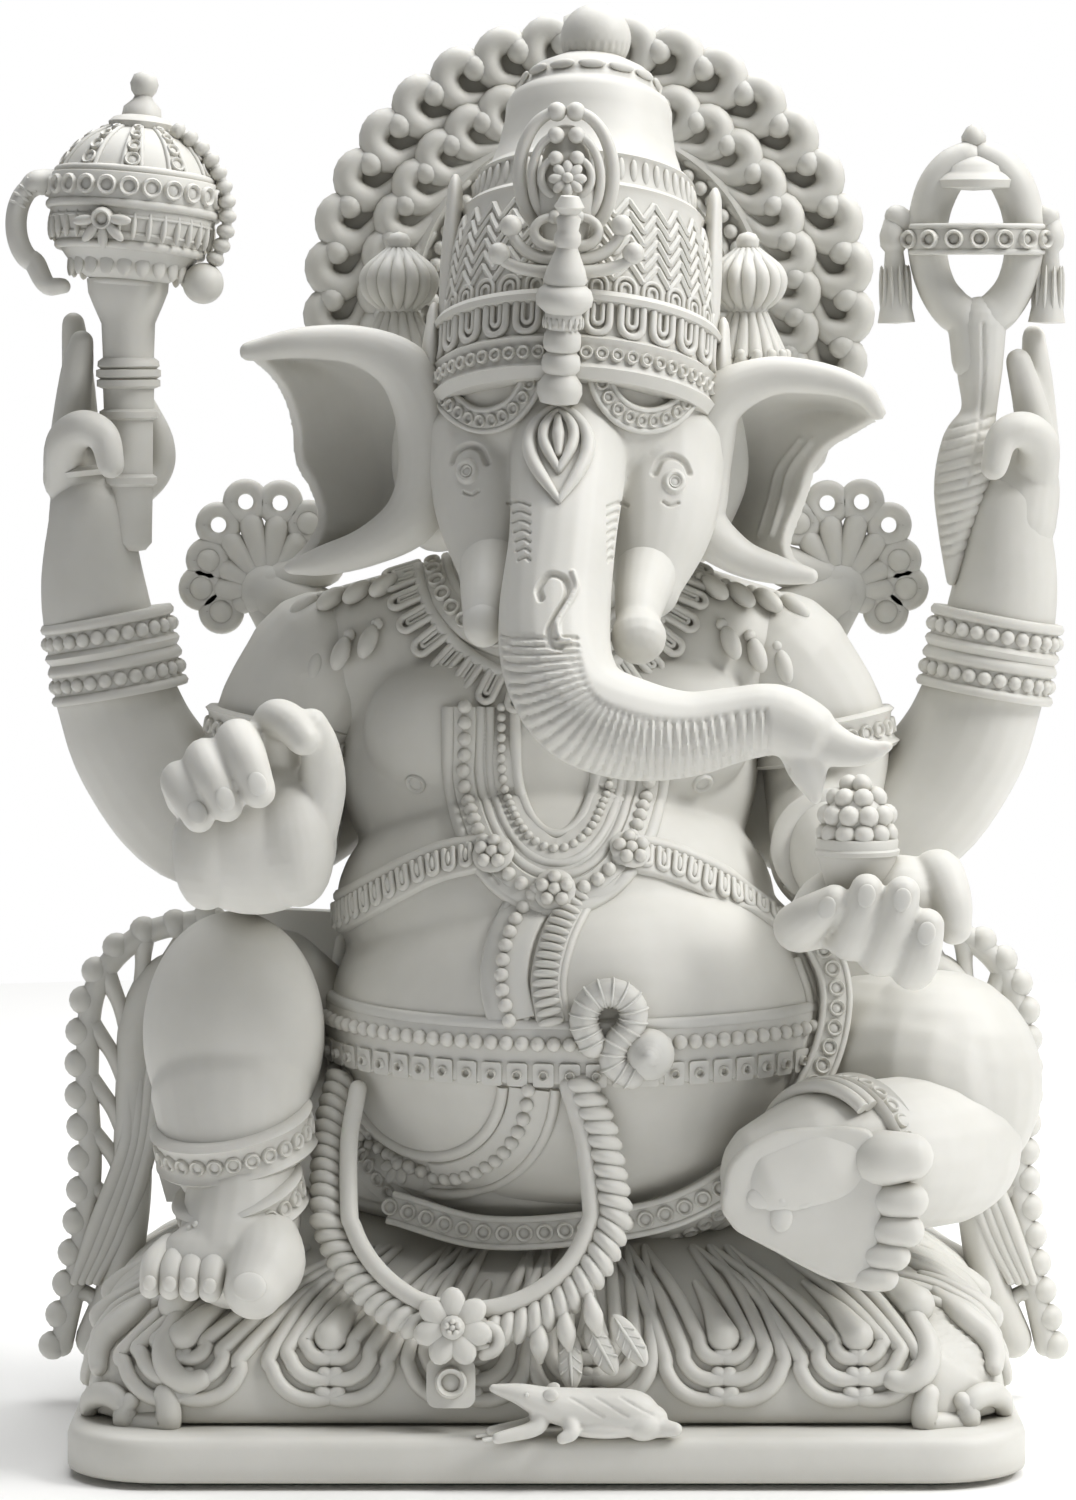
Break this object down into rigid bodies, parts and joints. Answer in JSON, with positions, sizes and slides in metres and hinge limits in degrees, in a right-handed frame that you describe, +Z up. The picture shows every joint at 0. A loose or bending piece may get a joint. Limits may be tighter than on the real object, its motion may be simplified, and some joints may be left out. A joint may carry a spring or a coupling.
{
  "type": "ganesha idol",
  "caption": "Seated elephant-headed idol with crown, round halo, pierced side screens and held emblems, on a lotus cushion and a flat rounded plinth.",
  "frame": {"origin": "middle of the plinth's underside, on the face of its felt pad", "axes": "+Z up, the idol faces -Y, +X is the idol's own left side"},
  "size_m": [0.1733, 0.12, 0.2264],
  "materials": {
    "marble_resin": "satin cast marble resin, warm off-white, finely sanded",
    "felt": "pressed felt"
  },
  "bodies": {
    "root": {"belly": "marble_resin", "belt": "marble_resin", "belt_loop": "marble_resin", "chest": "marble_resin", "chest_strap": "marble_resin", "collar": "marble_resin", "crown": "marble_resin", "crown_knob": "marble_resin", "crown_plume": "marble_resin", "felt_pad": "felt", "garland": "marble_resin", "hair_bud_left": "marble_resin", "hair_bud_right": "marble_resin", "halo_disc": "marble_resin", "halo_rim": "marble_resin", "head": "marble_resin", "hips": "marble_resin", "left_ear": "marble_resin", "left_foot": "marble_resin", "left_forearm": "marble_resin", "left_hand": "marble_resin", "left_rear_armlet": "marble_resin", "left_rear_forearm": "marble_resin", "left_rear_hand": "marble_resin", "left_rear_upper_arm": "marble_resin", "left_shin": "marble_resin", "left_thigh": "marble_resin", "left_tusk": "marble_resin", "left_upper_arm": "marble_resin", "loincloth_hem": "marble_resin", "long_necklace": "marble_resin", "lotus_cushion": "marble_resin", "mace_handle": "marble_resin", "mace_head": "marble_resin", "mouse": "marble_resin", "noose_collar": "marble_resin", "noose_loop": "marble_resin", "plinth": "marble_resin", "right_ear": "marble_resin", "right_foot": "marble_resin", "right_forearm": "marble_resin", "right_hand": "marble_resin", "right_rear_armlet": "marble_resin", "right_rear_forearm": "marble_resin", "right_rear_hand": "marble_resin", "right_rear_upper_arm": "marble_resin", "right_shin": "marble_resin", "right_thigh": "marble_resin", "right_tusk": "marble_resin", "right_upper_arm": "marble_resin", "sacred_thread": "marble_resin", "screen_left": "marble_resin", "screen_right": "marble_resin", "shoulder_scroll_left": "marble_resin", "shoulder_scroll_right": "marble_resin", "sweet_bowl": "marble_resin", "sweets": "marble_resin", "trunk": "marble_resin"}
  },
  "joints": []
}
